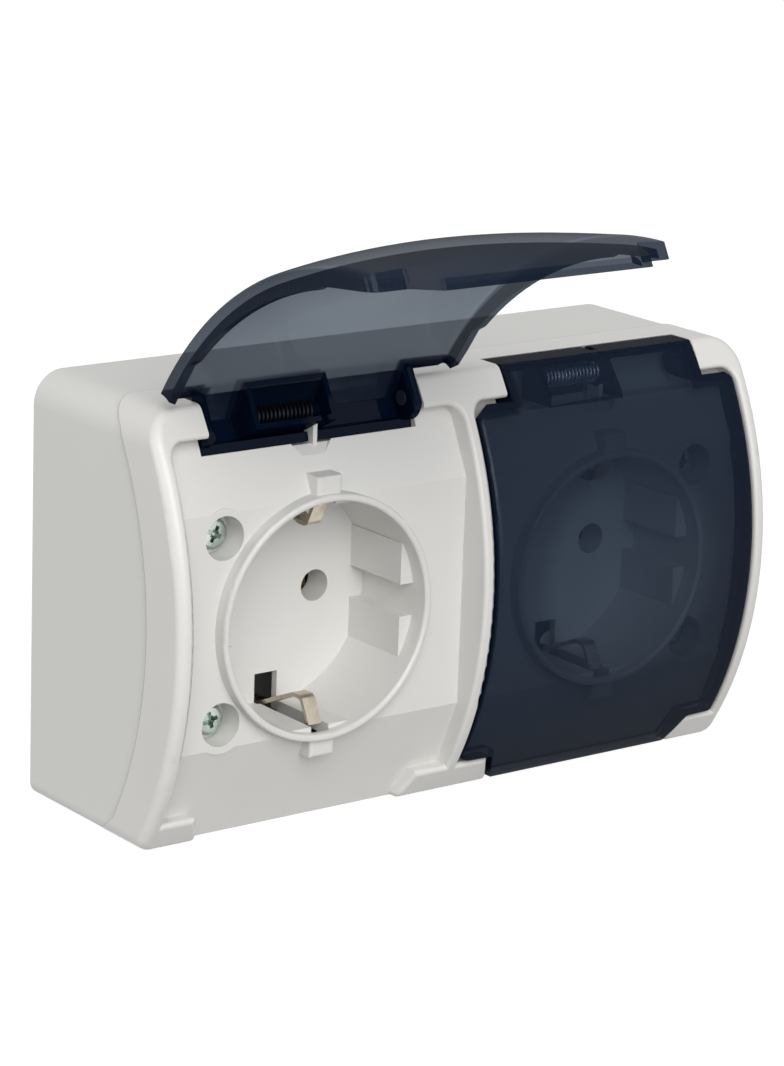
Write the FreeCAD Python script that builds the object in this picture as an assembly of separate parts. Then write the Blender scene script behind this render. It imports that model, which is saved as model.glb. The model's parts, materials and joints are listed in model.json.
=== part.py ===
import FreeCAD, Part
import math
import os

from FreeCAD import Vector

# Outdoor weatherproof double socket, wall mounted, with two sprung lids.
# Millimetres. X to the right, Y into the wall, Z up. The origin is the centre
# of the back face, so y = 0 is the wall and everything stands at negative y.

# Overall box
boxWidth = 124.2
boxHeight = 73.8
topCornerRadius = 5.85
bottomCornerRadius = 2.7
wall = 2.16
backWall = 2.34
jointRim = 4.14           # wall of both shells where they meet
jointClearance = 0.36
rearInset = 0.36          # the rear box is this much narrower than the cover

# Depths, measured out from the wall
crestDepth = 45.36        # crest of the front cover
faceFall = 11.53          # the curved front falls back this far at the top and bottom
frontRounding = 1.8
jointSetback = 10.08      # crest of the cover to crest of the joint
jointStep = 4.86          # on the top and bottom faces the joint lies this far behind its curve
jointSlope = 3.96         # the joint slants back over this height in the corners
jointRimFront = 2.7       # how far each rim runs from the joint
jointRimBack = 5.4
leastCorner = 0.54        # corners of inner outlines are no sharper

# Socket layout
sideRim = 2.7             # beside the outer edge of a recess
bridge = 2.16             # between the two recesses
recessDrop = 5.22         # top face to the top of a recess
recessCornerRadius = 2.7
recessRounding = 0.72     # of the recess edges on the front face
plateSetback = 6.57       # crest to the flat middle of the recess floor
plateFlatHalf = 19.8
plateTopSlope = 0.49
plateBottomSlope = 0.42
plateThickness = 2.16
footHeight = 5.22
footTopWidth = 6.57
footBottomWidth = 9.0

# Plug cup
ringSetback = 3.96        # crest to the rim of the cup
cupRadius = 19.67
cupWall = 1.26
cupDepth = 17.78
cupFloor = 1.44
rimRounding = 0.5
tabWidth = 4.86
tabReach = 2.97
tabSetback = 1.08
tabRounding = 0.54
pinPitch = 19.0
pinHoleRadius = 2.75
pinBossWall = 1.44
pinBossLength = 4.14
keyInset = 2.75           # side guides of the cup, in from its bore
keyNear = 2.79
keyFar = 9.9
keyCentre = -0.27
keySetback = 3.6
earthSlotWidth = 4.59
earthSlotInset = 5.81     # the slots in the floor run from here inside the bore
earthSlotPast = 2.11      # to here outside it
earthSlotSetback = 1.98
clipSlotWidth = 3.51      # slot in the cup wall, inside the tab
earthFlatInset = 0.86     # flat on the cup wall either side of the slot
earthFlatHalf = 6.3

# Hinge
lugWidth = 8.01           # either side of the lid's hinge part
hingeGap = 0.32
pivotSetback = 12.78      # crest to the hinge axis
pivotDrop = 3.78          # top face to the hinge axis
pivotStubRadius = 1.26
pivotStubLength = 1.98
pivotClearance = 0.06
channelRadius = 5.36
channelWall = 1.71
channelLip = 1.98         # the lip of the channel, in front of the hinge axis
ledgeDrop = 8.46          # top face to that lip
lipDentWidth = 8.1        # shallow dent in the recess floor under the lip
lipDentFoot = 4.5
lipDentHeight = 1.98
lipDentDepth = 0.9
barrelWall = 1.53         # the rounded back of the lid's flange
barrelTurn = 33.0         # degrees, how far it wraps down
barrelBlend = 2.0         # degrees, how far it runs into the flat of the flange
openAngle = 118.5
ribWidth = 0.81           # web on the cover that holds the spring leg
ribOffset = 0.81
ribInner = 2.7            # from the hinge axis

# Lid
lidGap = 0.36
lidThickness = 1.62
lidBulge = 2.79
lidSideWall = 1.44
lidSkirtDepth = 3.6
lidEdgeRounding = 1.35
lidTopCorner = 2.34
lidLowCorner = 1.8
plateClearance = 0.45
lidTipCorner = 0.63
earRadius = 3.78
earDrop = 0.54            # the wall in front of the ears reaches this much lower
pocketLeft = -12.78
pocketRight = 3.24
pocketWall = 0.9
pocketBack = 2.88         # behind the hinge axis
pocketFront = 5.04
pocketBottom = 3.87       # below the hinge axis
slitWidth = 1.35
slitFront = 0.45          # behind the hinge axis

# Lid spring
springRadius = 1.44       # centre line of the coil
springWire = 0.54
springTurns = 15
springPitch = 0.77
springStubGap = 0.18
springStubTurns = 3       # turns that sit on each stub
springLidLeg = 3.06
springCoverLeg = 4.14
springSeat = 0.07
springLegTrim = 0.02      # the legs are this much thinner than the coil's wall

# Screws through the cover
coverScrewTurn = 38.85    # degrees above and below the level of the cup's centre
coverScrewGap = 0.34      # cup wall to counterbore
counterboreRadius = 3.69
counterboreDepth = 5.04
screwHeadRadius = 3.24
screwHeadHeight = 2.16
screwShankRadius = 1.71
screwClearance = 0.23
screwBite = 9.0
screwBossReach = 5.4      # the cover's screw bosses run this far past the joint
screwBossWall = 1.26
postRadius = 3.69
driveWidth = 0.81         # cross in a screw head
driveDepth = 0.99
driveShare = 0.62         # half length of the cross, as a share of the head's radius
headShare = 0.33          # rounding of a screw head, as a share of its height
pilotGap = 0.02

# Seal between the shells
sealWidth = 1.26
sealHeight = 1.44
sealInset = 1.44

# Insulator block behind each cup
blockHalfWidth = 14.4
blockHalfHeight = 15.66
blockFootGap = 0.54       # to the back wall
blockPostHeight = 3.15    # of the posts that hold the block's ears
blockCorner = 2.7
blockGap = 0.09
blockEarReach = 20.7
blockEarHalf = 5.4
blockEarThickness = 2.7
blockPostGap = 0.27       # between the block and the posts of its ears
blockScrewX = 17.55
blockScrewRadius = 1.35
blockScrewHeadRadius = 2.43
blockScrewHeadHeight = 1.62
blockScrewBite = 2.7
chamberGap = 0.36
pinTipGap = 0.45
pinLength = 19.0          # of the plug

# Contacts
stripThickness = 0.72
leafGap = 3.78            # between the two leaves, at the pin
leafMouth = 4.68
leafFoot = 4.32
leafHalf = 3.24           # half height of the leaves
leafShare = 0.53          # length of the leaves, as a share of the block's depth
leafInset = 0.72
tailWidth = 5.58
terminalHeight = 11.16    # terminals of line and neutral, from the pin
terminalScrewRadius = 1.57
terminalHeadRadius = 2.43
terminalHeadHeight = 1.71
terminalShare = 0.19      # bite of the screws, as a share of the block's depth
holeGap = 0.14
linkWidth = 4.5
linkEnd = 2.7             # a link runs this far past its screws

# Earth bracket
clipWidth = 2.61
clipRootPast = 0.31       # outside the bore, where the clip leaves the strap
clipFootInset = 0.23      # inside the bore, at the cup floor
clipFoldInset = 4.46      # nearest to the cup's centre line
clipFoldSetback = 8.01
clipFoldLength = 1.98
clipBend = 0.9            # inside radius of the fold
clipTipInset = 0.41
clipTipSetback = 3.96
clipSlotSetback = 1.44
earthPadWidth = 6.48
earthScrewZ = 6.66
earthShare = 0.31

# Fixing to the wall and cable entry
mountEdgeX = 15.3         # side face to the wall holes
mountEdgeZ = 11.7
mountHoleRadius = 2.2
mountBossRadius = 4.5
mountBossHeight = 2.7
entryShare = 0.546        # centre of the entry, as a share of the rear box's depth
entryEdge = 4.32          # wall to the edge of the entry
entryFlange = 1.26        # the grommet's flange is this much wider
entryBossWall = 0.72
entryRecess = 1.26
entryLift = 1.26          # boss inside the bottom wall
grommetGap = 0.09
grommetWall = 1.08
grommetLip = 0.63
grommetDish = 0.54        # the membrane sits this far in
grommetChamfer = 0.9
membrane = 0.72

# Derived places
halfWidth = boxWidth / 2
halfHeight = boxHeight / 2
faceRadius = (halfHeight ** 2 + faceFall ** 2) / (2 * faceFall)
recessHalfWidth = (halfWidth - sideRim - bridge / 2) / 2
gangPitch = 2 * recessHalfWidth + bridge
hingeHalfWidth = recessHalfWidth - lugWidth
recessTop = halfHeight - recessDrop
pivotHeight = halfHeight - pivotDrop
ledgeHeight = halfHeight - ledgeDrop
jointArcHalf = halfHeight - jointSlope
mountHoleX = halfWidth - mountEdgeX
mountHoleZ = halfHeight - mountEdgeZ
crestY = -crestDepth
ringY = crestY + ringSetback
plateY = crestY + plateSetback
pivotY = crestY + pivotSetback
floorY = ringY + cupDepth
floorBackY = floorY + cupFloor
blockFrontY = floorBackY + pinBossLength + blockGap
blockBackY = -backWall - blockFootGap
earBackY = -backWall - blockPostHeight
blockDepth = blockBackY - blockFrontY
leafLength = leafShare * blockDepth
tailBackY = blockFrontY + leafLength + leafInset
terminalBite = terminalShare * blockDepth
earthBite = earthShare * blockDepth
cupOuter = cupRadius + cupWall
keyInner = cupRadius - keyInset
earthSlotInner = cupRadius - earthSlotInset
earthSlotOuter = cupRadius + earthSlotPast
earthFlat = cupRadius - earthFlatInset
clipRoot = cupRadius + clipRootPast
clipFoot = cupRadius - clipFootInset
clipFold = cupRadius - clipFoldInset
clipTip = cupRadius - clipTipInset
coverScrewReach = cupOuter + counterboreRadius + coverScrewGap
coverScrewX = coverScrewReach * math.cos(math.radians(coverScrewTurn))
coverScrewZ = coverScrewReach * math.sin(math.radians(coverScrewTurn))
blockPostRadius = blockScrewX - blockHalfWidth - blockPostGap
jointArcEnd = crestY + jointSetback + faceRadius - math.sqrt(faceRadius ** 2 - jointArcHalf ** 2)
jointTopY = jointArcEnd + jointStep
entryDepth = -entryShare * jointTopY
entryRadius = entryDepth - entryEdge
headSeatY = plateY + counterboreDepth
screwBossEndY = crestY + jointSetback + screwBossReach
springOuter = springRadius + springWire / 2
springStubRadius = springRadius - springWire / 2 - springStubGap
springEnd = ribOffset
springStart = springEnd - springTurns * springPitch
gangCentres = {"left": -gangPitch / 2, "right": gangPitch / 2}
outerSide = {"left": -1, "right": 1}
beyond = 10.0             # how far a cutting tool runs past what it cuts
proud = 1.0               # the same, where there is less room
barrelRadius = channelRadius - lidGap
nodes = {}


def faceY(z, setback=0.0, radius=faceRadius):
    # The curved front at height z
    return crestY + setback + radius - math.sqrt(radius ** 2 - z ** 2)


def box(x0, x1, y0, y1, z0, z1):
    return Part.makeBox(x1 - x0, y1 - y0, z1 - z0, Vector(x0, y0, z0))


def cylinderY(x, z, y0, y1, radius):
    return Part.makeCylinder(radius, y1 - y0, Vector(x, y0, z), Vector(0, 1, 0))


def cylinderX(y, z, x0, x1, radius):
    return Part.makeCylinder(radius, x1 - x0, Vector(x0, y, z), Vector(1, 0, 0))


def cylinderZ(x, y, z0, z1, radius):
    return Part.makeCylinder(radius, z1 - z0, Vector(x, y, z0), Vector(0, 0, 1))


def polygonX(points, x0, x1):
    # A closed outline of (y, z) points, run along X
    wire = Part.makePolygon([Vector(x0, y, z) for y, z in points + points[:1]])
    return Part.Face(wire).extrude(Vector(x1 - x0, 0, 0))


def polygonY(points, y0, y1):
    # A closed outline of (x, z) points, run along Y
    wire = Part.makePolygon([Vector(x, y0, z) for x, z in points + points[:1]])
    return Part.Face(wire).extrude(Vector(0, y1 - y0, 0))


def roundedY(x0, x1, z0, z1, y0, y1, topRadius, bottomRadius):
    # A rectangle with rounded corners, seen from the front, run along Y
    body = box(x0, x1, y0, y1, z0, z1)
    for z, radius in ((z1, topRadius), (z0, bottomRadius)):
        if radius > 0:
            corners = []
            for edge in body.Edges:
                middle = edge.CenterOfMass
                upright = abs(edge.Vertexes[0].Y - edge.Vertexes[-1].Y) > (y1 - y0) / 2
                if upright and abs(middle.z - z) < 1e-6:
                    corners.append(edge)
            body = body.makeFillet(radius, corners)
    return body


def shellOutline(inset, y0, y1, topInset=None, bottomInset=None):
    # The outline of the box, moved in from the outside
    top = inset if topInset is None else topInset
    bottom = inset if bottomInset is None else bottomInset
    return roundedY(
        -halfWidth + inset, halfWidth - inset, -halfHeight + bottom, halfHeight - top, y0, y1,
        max(topCornerRadius - inset, leastCorner), max(bottomCornerRadius - inset, leastCorner),
    )


def arcEdge(x, setback, halfSpan, radius=faceRadius):
    ends = faceY(halfSpan, setback, radius)
    return Part.Arc(
        Vector(x, ends, -halfSpan), Vector(x, crestY + setback, 0), Vector(x, ends, halfSpan)
    ).toShape()


def behindFace(setback, backY, span, x0, x1):
    # Everything from the curved front, moved back by setback, to a plane
    arc = arcEdge(x0, setback, span)
    ends = faceY(span, setback)
    back = Part.makePolygon([Vector(x0, ends, span), Vector(x0, backY, span),
                             Vector(x0, backY, -span), Vector(x0, ends, -span)])
    return Part.Face(Part.Wire([arc] + back.Edges)).extrude(Vector(x1 - x0, 0, 0))


def behindJoint(shift, x0=-halfWidth - beyond, x1=halfWidth + beyond):
    # Everything behind the joint of the two shells, moved back by shift
    setback = jointSetback + shift
    arcEnd = jointArcEnd + shift
    stepY = jointTopY + shift
    span = halfHeight + beyond
    arc = arcEdge(x0, setback, jointArcHalf)
    slopeY = stepY + (stepY - arcEnd) * beyond / jointSlope
    rest = Part.makePolygon([
        Vector(x0, arcEnd, jointArcHalf), Vector(x0, stepY, halfHeight), Vector(x0, slopeY, span),
        Vector(x0, beyond, span), Vector(x0, beyond, -span), Vector(x0, slopeY, -span),
        Vector(x0, stepY, -halfHeight), Vector(x0, arcEnd, -jointArcHalf),
    ])
    return Part.Face(Part.Wire([arc] + rest.Edges)).extrude(Vector(x1 - x0, 0, 0))


def plateProfile(offset, frontY, backward):
    # The three flats of the recess floor, moved back by offset.
    # backward gives what lies behind them, otherwise what lies in front.
    span = halfHeight + beyond
    y = plateY + offset
    top = y + (span - plateFlatHalf) * plateTopSlope
    bottom = y + (span - plateFlatHalf) * plateBottomSlope
    flats = [(bottom, -span), (y, -plateFlatHalf), (y, plateFlatHalf), (top, span)]
    end = beyond if backward else frontY
    return flats + [(end, span), (end, -span)]


def fuseAll(shapes):
    first, rest = shapes[0], shapes[1:]
    return first.fuse(rest).removeSplitter() if rest else first


def roundFrontEdges(body, radius):
    # Rounds the outer edge of the curved front face
    edges = []
    for edge in body.Edges:
        first, last = edge.FirstParameter, edge.LastParameter
        points = [edge.valueAt(first + (last - first) * k / 4) for k in range(5)]
        if all(abs(point.y - faceY(point.z)) < 1e-3 for point in points):
            edges.append(edge)
    return body.makeFillet(radius, edges)


def recessTool(centre):
    # What is cut from the front for one socket, leaving a foot in each corner
    left, right = centre - recessHalfWidth, centre + recessHalfWidth
    low = -halfHeight - beyond
    tool = roundedY(left, right, low, recessTop, crestY - beyond, 0, recessCornerRadius, 0)
    tool = tool.common(polygonX(plateProfile(0, crestY - beyond, False), left, right))
    footTop = -halfHeight + footHeight
    feet = []
    for side in (-1, 1):
        edge = centre + side * recessHalfWidth
        feet.append(polygonY([
            (edge + side, low), (edge - side * footBottomWidth, low),
            (edge - side * footBottomWidth, -halfHeight),
            (edge - side * footTopWidth, footTop), (edge + side, footTop),
        ], crestY - beyond, beyond))
    return tool.cut(feet)


def roundRecessEdges(body, radius):
    # Rounds the edges of the recesses on the curved front face
    edges = []
    for edge in body.Edges:
        first, last = edge.FirstParameter, edge.LastParameter
        points = [edge.valueAt(first + (last - first) * k / 4) for k in range(5)]
        onFace = all(abs(point.y - faceY(point.z)) < 1e-3 for point in points)
        inside = all(abs(point.x) < halfWidth - sideRim + 1e-3 for point in points)
        low = all(point.z < -halfHeight + frontRounding + 1e-3 for point in points)
        if onFace and inside and not low:
            edges.append(edge)
    return body.makeFillet(radius, edges)


def channelTool(centre):
    # The hinge channel between the lugs, open to the front and the top
    half = hingeHalfWidth + hingeGap
    left, right = centre - half, centre + half
    hollow = cylinderX(pivotY, pivotHeight, left, right, channelRadius)
    hollow = hollow.common(box(left, right, pivotY - channelLip, 0, 0, halfHeight))
    topBack = pivotY + math.sqrt(channelRadius ** 2 - (halfHeight - pivotHeight) ** 2)
    front = box(left, right, crestY - beyond, pivotY, ledgeHeight, halfHeight + beyond)
    mouth = box(left, right, crestY - beyond, topBack, pivotHeight, halfHeight + beyond)
    return fuseAll([hollow, front, mouth])


def channelHousing(centre):
    # The wall round the back of the hinge channel, clear of the rear box's rim
    half = hingeHalfWidth + hingeGap + channelWall
    tube = cylinderX(pivotY, pivotHeight, centre - half, centre + half, channelRadius + channelWall)
    top = halfHeight - jointRim - jointClearance
    back = polygonX(plateProfile(0, 0, True), centre - half, centre + half)
    return tube.common(box(centre - half, centre + half, crestY, 0, 0, top)).common(back)


def cup(centre):
    # The plug cup: tube, floor, rim tabs and pin hole bosses, before its holes
    tube = cylinderY(centre, 0, ringY, floorBackY, cupOuter)
    front = [edge for edge in tube.Edges if abs(edge.CenterOfMass.y - ringY) < 1e-6]
    parts = [tube.makeFillet(rimRounding, front)]
    for side in (-1, 1):
        parts.append(cylinderY(centre + side * pinPitch / 2, 0, floorY, floorBackY + pinBossLength,
                               pinHoleRadius + pinBossWall))
        z0, z1 = sorted((side * (cupRadius + cupWall / 2), side * (cupOuter + tabReach)))
        tab = box(centre - tabWidth / 2, centre + tabWidth / 2, ringY + tabSetback,
                  plateY + plateThickness, z0, z1)
        outer = [edge for edge in tab.Edges
                 if edge.CenterOfMass.y < plateY and abs(edge.CenterOfMass.z) > cupOuter]
        parts.append(tab.makeFillet(tabRounding, outer))
    return parts


def cupBore(centre):
    # The bore of the cup, flared into the rounded rim
    mouth = cupRadius + rimRounding
    middle = rimRounding * (1 - math.sqrt(0.5))
    outline = Part.makePolygon([
        Vector(centre + cupRadius, ringY + rimRounding, 0), Vector(centre + cupRadius, floorY, 0),
        Vector(centre, floorY, 0), Vector(centre, ringY - beyond, 0),
        Vector(centre + mouth, ringY - beyond, 0), Vector(centre + mouth, ringY, 0),
    ])
    flare = Part.Arc(
        Vector(centre + mouth, ringY, 0), Vector(centre + cupRadius + middle, ringY + middle, 0),
        Vector(centre + cupRadius, ringY + rimRounding, 0),
    ).toShape()
    face = Part.Face(Part.Wire(outline.Edges + [flare]))
    return face.revolve(Vector(centre, 0, 0), Vector(0, 1, 0), 360)


def cupHoles(centre):
    # The bore with its flats and guides, the pin holes and the earth slots
    keep = []
    for side in (-1, 1):
        for end in (-1, 1):
            z0, z1 = sorted((keyCentre + end * keyNear, keyCentre + end * keyFar))
            x0, x1 = sorted((centre + side * keyInner, centre + side * cupOuter))
            keep.append(box(x0, x1, ringY + keySetback, floorY + proud, z0, z1))
        z0, z1 = sorted((side * earthFlat, side * cupOuter))
        keep.append(box(centre - earthFlatHalf, centre + earthFlatHalf,
                        ringY + earthSlotSetback, floorY + proud, z0, z1))
    tools = [cupBore(centre).cut(keep)]
    for side in (-1, 1):
        tools.append(cylinderY(centre + side * pinPitch / 2, 0, floorY - proud,
                               floorBackY + pinBossLength + proud, pinHoleRadius))
        z0, z1 = sorted((side * earthSlotInner, side * earthSlotOuter))
        tools.append(box(centre - earthSlotWidth / 2, centre + earthSlotWidth / 2,
                         floorY - proud, floorBackY + proud, z0, z1))
        z0, z1 = sorted((side * (earthFlat - proud), side * earthSlotOuter))
        tools.append(box(centre - clipSlotWidth / 2, centre + clipSlotWidth / 2,
                         ringY + clipSlotSetback, floorBackY + proud, z0, z1))
    return tools


def lipDent(centre):
    # A shallow dent in the recess floor, below the web on the lip
    top, foot = lipDentWidth / 2, lipDentFoot / 2
    low = ledgeHeight - lipDentHeight
    front = plateY + (ledgeHeight - plateFlatHalf) * plateTopSlope
    lowFront = plateY + (low - plateFlatHalf) * plateTopSlope
    outline = polygonY([(centre - top, ledgeHeight + proud), (centre + top, ledgeHeight + proud),
                        (centre + top, ledgeHeight), (centre + foot, low),
                        (centre - foot, low), (centre - top, ledgeHeight)], crestY - beyond, 0)
    wedge = polygonX([(crestY - beyond, ledgeHeight + proud), (front + lipDentDepth, ledgeHeight + proud),
                      (front + lipDentDepth, ledgeHeight), (lowFront, low), (crestY - beyond, low)],
                     centre - top, centre + top)
    return outline.common(wedge)


def screwPlaces():
    places = []
    for name, centre in gangCentres.items():
        x = centre + outerSide[name] * coverScrewX
        places += [(x, coverScrewZ), (x, -coverScrewZ)]
    return places


def blockScrewPlaces():
    return [centre + side * blockScrewX for centre in gangCentres.values() for side in (-1, 1)]


def makeFrontCover():
    outline = shellOutline(0, crestY - beyond, 0)
    body = outline.common(behindFace(0, 0, halfHeight + proud, -halfWidth, halfWidth))
    body = body.cut(behindJoint(0))
    body = roundFrontEdges(body, frontRounding)
    for centre in gangCentres.values():
        body = body.cut(recessTool(centre))
    body = roundRecessEdges(body, recessRounding)

    # Hollow from behind, following the flats of the recess floors
    hollow = shellOutline(wall, crestY, 0)
    hollow = hollow.common(polygonX(plateProfile(plateThickness, 0, True), -halfWidth, halfWidth))
    rim = shellOutline(0, crestY, 0).cut(shellOutline(jointRim, crestY - proud, proud))
    rim = rim.common(behindJoint(-jointRimFront))
    keep = [rim]
    for centre in gangCentres.values():
        half = hingeHalfWidth + hingeGap + channelWall
        keep.append(cylinderX(pivotY, pivotHeight, centre - half, centre + half,
                              channelRadius + channelWall))
        keep.append(box(centre - half, centre + half, crestY, 0, pivotHeight, halfHeight))
    body = body.cut(hollow.cut(keep))

    solids = [body]
    for centre in gangCentres.values():
        solids += cup(centre) + [channelHousing(centre)]
    for x, z in screwPlaces():
        solids.append(cylinderY(x, z, plateY, screwBossEndY, counterboreRadius + screwBossWall))
    tools = []
    for centre in gangCentres.values():
        tools += [channelTool(centre), lipDent(centre)]
        tools += cupHoles(centre)
    for x, z in screwPlaces():
        tools.append(cylinderY(x, z, plateY - beyond, headSeatY, counterboreRadius))
        tools.append(cylinderY(x, z, plateY, screwBossEndY + proud,
                               screwShankRadius + screwClearance))
    body = fuseAll(solids)
    for tool in tools:
        body = body.cut(tool)

    # Pivot stubs on the lugs and the hook for each spring leg
    extras = []
    for centre in gangCentres.values():
        half = hingeHalfWidth + hingeGap
        for side in (-1, 1):
            x0, x1 = sorted((centre + side * (half + proud), centre + side * (half - pivotStubLength)))
            extras.append(cylinderX(pivotY, pivotHeight, x0, x1, pivotStubRadius))
        extras.append(springHook(centre))
    return body.fuse(extras).removeSplitter()


def springHook(centre):
    # A thin web at the foot of the channel that the spring leg bears on
    x0 = centre + ribOffset - ribWidth / 2
    x1 = x0 + ribWidth
    web = cylinderX(pivotY, pivotHeight, x0, x1, channelRadius + channelWall / 2)
    web = web.cut(cylinderX(pivotY, pivotHeight, x0, x1, ribInner))
    backY = pivotY + springRadius - springWire / 2 - springSeat
    return web.common(box(x0, x1, pivotY - channelLip, backY, 0, pivotHeight))


def makeRearBox():
    shell = shellOutline(rearInset, crestY, 0, topInset=rearInset, bottomInset=0)
    body = shell.common(behindJoint(0))
    hollow = shellOutline(wall + rearInset, crestY - proud, -backWall)
    rim = shellOutline(0, crestY, 0).cut(shellOutline(jointRim, crestY - proud, proud))
    rim = rim.cut(behindJoint(jointRimBack))
    body = body.cut(hollow.cut(rim))
    solids = [body]
    for x, z in screwPlaces():
        solids.append(cylinderY(x, z, screwBossEndY, -backWall / 2, postRadius))
    for x in blockScrewPlaces():
        solids.append(cylinderY(x, 0, earBackY, -backWall / 2, blockPostRadius))
    for sx in (-1, 1):
        for sz in (-1, 1):
            solids.append(cylinderY(sx * mountHoleX, sz * mountHoleZ,
                                    -backWall - mountBossHeight, -backWall / 2, mountBossRadius))
    solids.append(cylinderZ(0, -entryDepth, -halfHeight, -halfHeight + wall + entryLift,
                            entryRadius + entryFlange + entryBossWall))
    body = fuseAll(solids)
    tools = [sealBody(0, sealHeight)]
    for x, z in screwPlaces():
        tools.append(cylinderY(x, z, screwBossEndY - proud, -backWall - proud,
                               screwShankRadius + pilotGap))
    for x in blockScrewPlaces():
        tools.append(cylinderY(x, 0, earBackY - proud, -backWall, blockScrewRadius + pilotGap))
    tools.append(cylinderZ(0, -entryDepth, -halfHeight - proud, 0, entryRadius))
    tools.append(cylinderZ(0, -entryDepth, -halfHeight - proud, -halfHeight + entryRecess,
                           entryRadius + entryFlange))
    for sx in (-1, 1):
        for sz in (-1, 1):
            tools.append(cylinderY(sx * mountHoleX, sz * mountHoleZ,
                                   -backWall - mountBossHeight - proud, proud, mountHoleRadius))
    for tool in tools:
        body = body.cut(tool)
    return body


def sealBody(front, back):
    inside = shellOutline(sealInset + sealWidth, crestY - proud, proud)
    ring = shellOutline(sealInset, crestY, 0).cut(inside)
    return ring.common(behindJoint(front)).cut(behindJoint(back))


def lidBlock(inset):
    # The pillowed front of the lid, moved in by inset, as a block with a flat back
    half = recessHalfWidth - lidGap
    low, high = -halfHeight + lidGap, halfHeight
    wires = []
    for k in range(-2, 3):
        x = half * k / 2
        middle = crestY - lidBulge * (1 - (x / half) ** 2) + inset
        first = Vector(x, faceY(low) + inset, low)
        last = Vector(x, faceY(high) + inset, high)
        arc = Part.Arc(first, Vector(x, middle, 0), last).toShape()
        back = Part.makePolygon([last, Vector(x, 0, high), Vector(x, 0, low), first])
        wires.append(Part.Wire([arc] + back.Edges))
    return Part.makeLoft(wires, True, False)


def roundedPolygon(corners, y):
    # A wire through (x, z, radius) corners, each rounded by its radius
    edges, joins = [], []
    count = len(corners)
    for k in range(count):
        px, pz, _ = corners[k - 1]
        x, z, radius = corners[k]
        nx, nz, _ = corners[(k + 1) % count]
        here = Vector(x, y, z)
        before = (Vector(px, y, pz) - here).normalize()
        after = (Vector(nx, y, nz) - here).normalize()
        if radius == 0:
            joins.append((here, here, None))
            continue
        angle = before.getAngle(after)
        reach = radius / math.tan(angle / 2)
        middle = (before + after).normalize()
        centre = here + middle * (radius / math.sin(angle / 2))
        joins.append((here + before * reach, here + after * reach, centre - middle * radius))
    for k in range(count):
        start, end, top = joins[k]
        if top is not None:
            edges.append(Part.Arc(start, top, end).toShape())
        edges.append(Part.LineSegment(end, joins[(k + 1) % count][0]).toShape())
    return Part.Wire(edges)


def lidOutline():
    side = recessHalfWidth - lidGap
    low = -halfHeight + lidGap
    tip = recessHalfWidth - footBottomWidth - lidGap
    shoulder = recessHalfWidth - footTopWidth - lidGap
    notch = -halfHeight + footHeight + lidGap
    top = recessTop - lidGap
    right = [(tip, low, lidTipCorner), (shoulder, notch, lidTipCorner), (side, notch, lidLowCorner),
             (side, top, lidTopCorner), (hingeHalfWidth, top, 0), (hingeHalfWidth, halfHeight, 0)]
    left = [(-x, z, radius) for x, z, radius in reversed(right)]
    return roundedPolygon(right + left, crestY - beyond)


def earProfile(x0, x1):
    # The hinge end of the lid in side view: ear, flat flange and its rounded back
    low = pivotHeight - earRadius
    back = pivotY + math.sqrt(barrelRadius ** 2 - (halfHeight - pivotHeight) ** 2)
    disc = cylinderX(pivotY, pivotHeight, x0, x1, earRadius)
    front = polygonX([
        (crestY - beyond, halfHeight), (back, halfHeight), (back, halfHeight - lidThickness),
        (pivotY, low), (pivotY - channelLip - lidGap, low - earDrop / 2), (crestY - beyond, low - earDrop),
    ], x0, x1)
    return disc.fuse([front, barrel(x0, x1)])


def barrel(x0, x1):
    # The back of the flange, wrapped round the hinge axis
    back = math.sqrt(barrelRadius ** 2 - (halfHeight - pivotHeight) ** 2)
    first = math.degrees(math.atan2(halfHeight - pivotHeight, back))
    ring = Part.makeCylinder(barrelRadius, x1 - x0, Vector(x0, pivotY, pivotHeight), Vector(1, 0, 0))
    inner = cylinderX(pivotY, pivotHeight, x0, x1, barrelRadius - barrelWall)
    reach = 2 * barrelRadius
    wedge = [(pivotY, pivotHeight)]
    for turn in (first + barrelBlend, first - barrelTurn):
        angle = math.radians(turn)
        wedge.append((pivotY + reach * math.cos(angle), pivotHeight + reach * math.sin(angle)))
    piece = ring.cut(inner).common(polygonX(wedge, x0, x1))
    return piece.common(box(x0, x1, crestY, 0, 0, halfHeight))


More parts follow.
